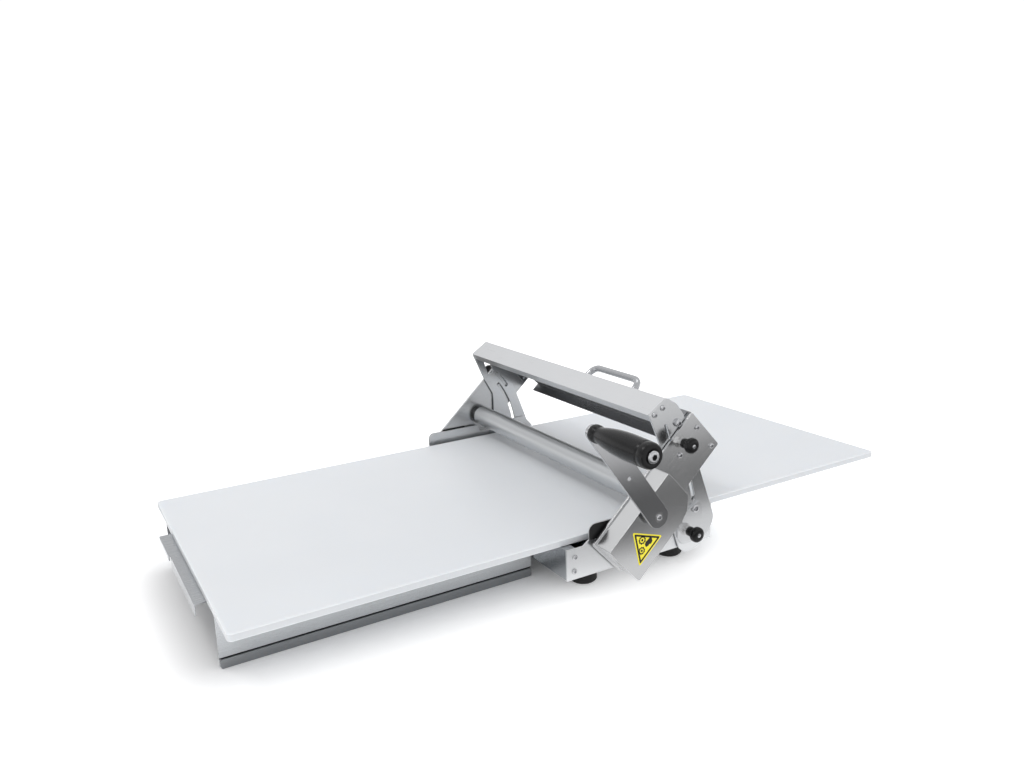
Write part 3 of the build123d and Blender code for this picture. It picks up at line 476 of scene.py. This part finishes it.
# ---------------------------------------------------------------- grip, spindle end, crank screw
grip_low, grip_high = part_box("crank_grip")
GRIP = Vector(((grip_low.x + grip_high.x) / 2, grip_high.y, (grip_low.z + grip_high.z) / 2))
GRIP_LONG = grip_high.y - grip_low.y
grip_shape = [(5.06, 0.2), (9.4, 0.0), (10.2, 0.6), (10.6, 1.9), (10.6, 7.4), (10.1, 8.8), (9.35, 10.2),
              (9.2, 11.6), (9.5, 13.4), (10.2, 17.0), (11.5, 24.0), (12.8, 32.5), (13.9, 42.0),
              (14.6, 52.0), (14.95, 62.0), (15.0, 72.0), (14.9, 82.0), (14.75, 90.0), (14.7, 92.4),
              (14.2, 93.4), (14.2, 94.2), (14.6, 95.2), (14.5, 100.0), (14.0, 103.0), (12.9, 104.6),
              (11.2, 105.0), (8.4, 105.0), (7.7, 104.5), (7.6, 103.2), (5.06, 103.0)]
grip_mesh = lathe("grip", [(r / 1000, d / 105 * GRIP_LONG) for r, d in grip_shape], GRIP, AXIS[NEAR], 96)
piece("grip_moulded", grip_mesh, BLACK, "grip", ["crank_grip"])

spindle_low, spindle_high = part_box("grip_spindle")
spindle_start = Vector((GRIP.x, spindle_high.y, GRIP.z))
spindle_long = (spindle_high.y - spindle_low.y) * 1000
SPINDLE_HEAD = 2.6
spindle_shank = spindle_long - SPINDLE_HEAD
spindle = button_screw("spindle", spindle_start + AXIS[NEAR] * spindle_shank / 1000, AXIS[NEAR], 7.1,
                       SPINDLE_HEAD, 3.0, 5.0, spindle_shank, -3.0)
piece("grip_spindle_screw", spindle, FASTENER, "crank", ["grip_spindle"])

screw_low, screw_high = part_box("crank_screw")
screw_seat = Vector(((screw_low.x + screw_high.x) / 2, screw_high.y, (screw_low.z + screw_high.z) / 2))
piece("crank_screw_head", button_screw("crank_screw", screw_seat, AXIS[NEAR], 3.9, 2.2, 1.5, 2.0, 3.0),
      FASTENER, "crank", ["crank_screw"])

# ---------------------------------------------------------------- plunger knobs
knob_shape = [(2.6, 0.1), (6.1, 0.0), (6.4, 0.4), (6.4, 5.6), (6.2, 6.4), (5.7, 7.2), (5.6, 8.2),
              (6.1, 9.2), (7.6, 10.2), (9.5, 11.0), (9.95, 11.9), (10.0, 13.2), (10.0, 15.4), (9.7, 16.6),
              (8.8, 17.6), (7.2, 18.2), (5.0, 18.55), (3.3, 18.65), (3.0, 18.5), (2.9, 18.3),
              (0.05, 18.25)]
for word, side in SIDES.items():
    for level in ("upper", "lower"):
        node = f"{level}_plunger_knob_{word}"
        low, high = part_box(node)
        start = Vector(((low.x + high.x) / 2, high.y if side == NEAR else low.y, (low.z + high.z) / 2))
        mesh = lathe(node, [(r / 1000, d / 1000) for r, d in knob_shape], start, AXIS[side], 64)
        piece(node + "_turned", mesh, BLACK, body_of(node), [node])
        dot = lathe(node + "_dot", [(0.0026, 0.0180), (0.0026, 0.01865), (0.0023, 0.0188), (0.0004, 0.0188)],
                    start, AXIS[side], 32)
        piece(node + "_dot", dot, FASTENER, body_of(node), [])

# ---------------------------------------------------------------- warning sign on the gear cover
FACE = -264.0  # the cover's outer face, in millimetres from the machine's middle plane
PLATE_FACE, MARK_FACE = FACE - 0.30, FACE - 0.36


def inset(corners, amount):
    """A triangle with every side moved inwards."""
    centre = (sum(u for u, v in corners) / 3, sum(v for u, v in corners) / 3)
    reach = math.hypot(corners[0][0] - centre[0], corners[0][1] - centre[1])
    scale = 1 - 2 * amount / reach
    return [(centre[0] + (u - centre[0]) * scale, centre[1] + (v - centre[1]) * scale) for u, v in corners]


def rounded(corners, radius, steps=5):
    """An outline with its corners rounded off."""
    result = []
    count = len(corners)
    for i, corner in enumerate(corners):
        a, b, c = (Vector(corners[(i + k) % count]) for k in (-1, 0, 1))
        start, end = b + (a - b).normalized() * radius, b + (c - b).normalized() * radius
        for step in range(steps + 1):
            t = step / steps
            spot = start * (1 - t) ** 2 + b * 2 * t * (1 - t) + end * t ** 2
            result.append((spot.x, spot.y))
    return result


def ring(centre, radius, teeth=0, tooth=0.0, count=72):
    """A round outline, with square teeth when asked for."""
    points = []
    for i in range(count):
        angle = 2 * math.pi * i / count
        wave = tooth if teeth and math.sin(angle * teeth) > 0 else 0.0
        reach = radius + wave
        points.append((centre[0] + reach * math.cos(angle), centre[1] + reach * math.sin(angle)))
    return points


sign = [(17.2, 34.7), (65.0, 34.7), (41.1, 76.1)]
border_out, border_in = inset(sign, 1.6), inset(sign, 4.0)
plate = outline_plate("sign_plate", [rounded(sign, 3.2)], in_head, FACE, PLATE_FACE)
piece("sign_plate", plate, SIGN_YELLOW, "head")
marks = [outline_plate("sign_border", [rounded(border_out, 2.4), rounded(border_in, 1.2)], in_head,
                       PLATE_FACE, MARK_FACE)]
for centre, radius in (((43.0, 56.6), 4.9), ((33.2, 47.0), 4.5)):
    marks.append(outline_plate("sign_gear", [ring(centre, radius, 9, 0.8), ring(centre, radius - 1.5)],
                               in_head, PLATE_FACE, MARK_FACE))
    marks.append(outline_plate("sign_hub", [ring(centre, 1.6)], in_head, PLATE_FACE, MARK_FACE))
HAND = [(40.0, 45.2), (41.6, 49.2), (44.6, 50.6), (47.2, 49.8), (52.6, 49.4), (53.6, 46.6), (51.6, 42.6),
        (47.6, 41.6), (46.0, 43.6), (43.4, 43.2)]
marks.append(outline_plate("sign_hand", [rounded(HAND, 0.7)], in_head, PLATE_FACE, MARK_FACE))
piece("sign_marks", join(marks, "sign_marks"), SIGN_BLACK, "head")

# ---------------------------------------------------------------- studio
def sheet_plane(name, low, high, z, material):
    """A flat rectangle of the studio, lying level."""
    mesh = bpy.data.meshes.new(name)
    corners = [(low[0], low[1], z), (high[0], low[1], z), (high[0], high[1], z), (low[0], high[1], z)]
    mesh.from_pydata(corners, [], [(0, 1, 2, 3)])
    mesh.materials.append(material)
    obj = bpy.data.objects.new(name, mesh)
    bpy.context.scene.collection.objects.link(obj)
    return obj


# the floor's own glow keeps it white, and fades out under and near the machine, which paints a soft shade
# around its footprint on top of its cast shadow
PAINTED_SHADE_PATCH = (("X", -0.165, 0.300), ("Y", 0.055, 0.125))  # middle and half size of the unlit patch of painted shade
FADE_WIDTH, PAINTED_SHADE_GLOW, FULL_GLOW = 0.13, 0.02, 0.50

paper = Nodes("floor_paper")
paper.set(Base_Color=(0.92, 0.92, 0.92, 1), Roughness=0.9, Specular_IOR_Level=0.1,
          Emission_Color=(1, 1, 1, 1))
spots = paper.add("ShaderNodeSeparateXYZ")
paper.link(paper.coords, spots.inputs["Vector"])
gaps = []
for axis, middle, half in PAINTED_SHADE_PATCH:
    offset = paper.maths("ABSOLUTE", paper.maths("SUBTRACT", spots.outputs[axis], middle), 0.0)
    outside = paper.maths("MAXIMUM", paper.maths("SUBTRACT", offset, half), 0.0)
    gaps.append(paper.maths("MULTIPLY", outside, outside))
distance = paper.maths("SQRT", paper.maths("ADD", *gaps), 0.0)
fade = paper.add("ShaderNodeMapRange", interpolation_type="SMOOTHSTEP")
for socket, value in (("From Min", 0.0), ("From Max", FADE_WIDTH), ("To Min", PAINTED_SHADE_GLOW),
                      ("To Max", FULL_GLOW)):
    fade.inputs[socket].default_value = value
paper.link(distance, fade.inputs["Value"])
paper.link(fade.outputs["Result"], paper.shader.inputs["Emission Strength"])
sheet_plane("floor", (-9, -9), (9, 9), 0.0, paper.material)

# grey cards beside the machine, seen only in the metal: they give the side plates their darker tone
CARD_START, CARD_LONG, CARD_END = 0.279, 2.0, 3.0  # tones run over CARD_LONG, the last goes on to CARD_END
CARD_LEFT, CARD_RIGHT, CARD_HIGH = -2.5, 3.5, 0.003
CARD_TONES = ((0.0, 0.88), (0.06, 0.88), (0.105, 0.32), (0.145, 0.19), (0.21, 0.13), (0.29, 0.14),
              (0.35, 0.36), (0.40, 0.64), (0.46, 0.84), (2.0, 0.80))


def grey_card(name, side):
    """A level card whose tone changes with the distance from the machine's middle plane."""
    material = bpy.data.materials.new(name)
    material.use_nodes = True
    tree = material.node_tree
    tree.nodes.remove(tree.nodes["Principled BSDF"])
    glow = tree.nodes.new("ShaderNodeEmission")
    where = tree.nodes.new("ShaderNodeTexCoord")
    parts = tree.nodes.new("ShaderNodeSeparateXYZ")
    reach = tree.nodes.new("ShaderNodeMapRange")
    tones = tree.nodes.new("ShaderNodeValToRGB")
    start = SHIFT_Y + side * CARD_START
    reach.inputs["From Min"].default_value = start
    reach.inputs["From Max"].default_value = start + side * CARD_LONG
    tree.links.new(where.outputs["Object"], parts.inputs["Vector"])
    tree.links.new(parts.outputs["Y"], reach.inputs["Value"])
    tree.links.new(reach.outputs["Result"], tones.inputs["Fac"])
    tree.links.new(tones.outputs["Color"], glow.inputs["Color"])
    tree.links.new(glow.outputs["Emission"], tree.nodes["Material Output"].inputs["Surface"])
    stops = tones.color_ramp.elements
    for distance, value in CARD_TONES[1:-1]:
        stops.new(distance / CARD_LONG).color = (value, value, value * 1.01, 1)
    for stop, (distance, value) in ((stops[0], CARD_TONES[0]), (stops[-1], CARD_TONES[-1])):
        stop.position = distance / CARD_LONG
        stop.color = (value, value, value * 1.01, 1)
    ends = sorted((start, start + side * CARD_END))
    card = sheet_plane(name, (CARD_LEFT, ends[0]), (CARD_RIGHT, ends[1]), CARD_HIGH, material)
    card.visible_camera = False
    card.visible_diffuse = False
    card.visible_shadow = False


for word, side in SIDES.items():
    grey_card("grey_card_" + word, side)

SKY_LOW, SKY_TOP, SKY_STRENGTH = (1.0, 1.0, 1.0, 1), (0.74, 0.74, 0.75, 1), 1.06
SKY_TONES = ((0.21, 1.0), (0.30, 0.58), (0.42, 0.66), (0.55, 0.84), (0.75, 0.78))  # height, tone

world = bpy.data.worlds.new("studio")
bpy.context.scene.world = world
world.use_nodes = True
tree = world.node_tree
background = tree.nodes["Background"]
direction = tree.nodes.new("ShaderNodeTexCoord")
split = tree.nodes.new("ShaderNodeSeparateXYZ")
ramp = tree.nodes.new("ShaderNodeValToRGB")
tree.links.new(direction.outputs["Generated"], split.inputs["Vector"])
tree.links.new(split.outputs["Z"], ramp.inputs["Fac"])
tree.links.new(ramp.outputs["Color"], background.inputs["Color"])
stops = ramp.color_ramp.elements
stops[0].position, stops[0].color = 0.0, SKY_LOW
stops[1].position, stops[1].color = 1.0, SKY_TOP
for position, value in SKY_TONES:
    stop = stops.new(position)
    stop.color = (value, value, value * 1.01, 1)
background.inputs["Strength"].default_value = SKY_STRENGTH


def area_light(name, place, target, size, power):
    """A rectangular light aimed at a point."""
    data = bpy.data.lights.new(name, "AREA")
    data.shape = "RECTANGLE"
    data.size, data.size_y = size
    data.energy = power
    obj = bpy.data.objects.new(name, data)
    obj.location = place
    obj.rotation_euler = (Vector(target) - Vector(place)).to_track_quat("-Z", "Y").to_euler()
    bpy.context.scene.collection.objects.link(obj)


area_light("key", (-1.2, 0.6, 2.2), (0.05, 0.0, 0.05), (0.9, 0.6), 8)
area_light("top", (0.6, 0.4, 2.4), (0.1, 0.0, 0.0), (1.4, 0.8), 4)
area_light("fill", (-1.6, -1.9, 1.3), (0.0, 0.0, 0.1), (0.8, 0.8), 2)

# ---------------------------------------------------------------- camera
camera_data = bpy.data.cameras.new("camera")
camera_data.lens = 30.153
camera_data.sensor_width = 36.0
camera_data.clip_start = 0.02
camera = bpy.data.objects.new("camera", camera_data)
# the camera's axes in the row frame
right = Vector((0.8604608, -0.5086305, -0.0300377))
down = Vector((-0.1483357, -0.1936708, -0.9697877))
forward = Vector((0.4874462, 0.8389199, -0.2420943))
turn = Matrix((right, -down, -forward)).transposed().to_4x4()
camera.matrix_world = Matrix.Translation(at(-620.4, -1018.6, 510.4)) @ turn
bpy.context.scene.collection.objects.link(camera)
bpy.context.scene.camera = camera
bpy.context.scene.view_settings.view_transform = "Standard"
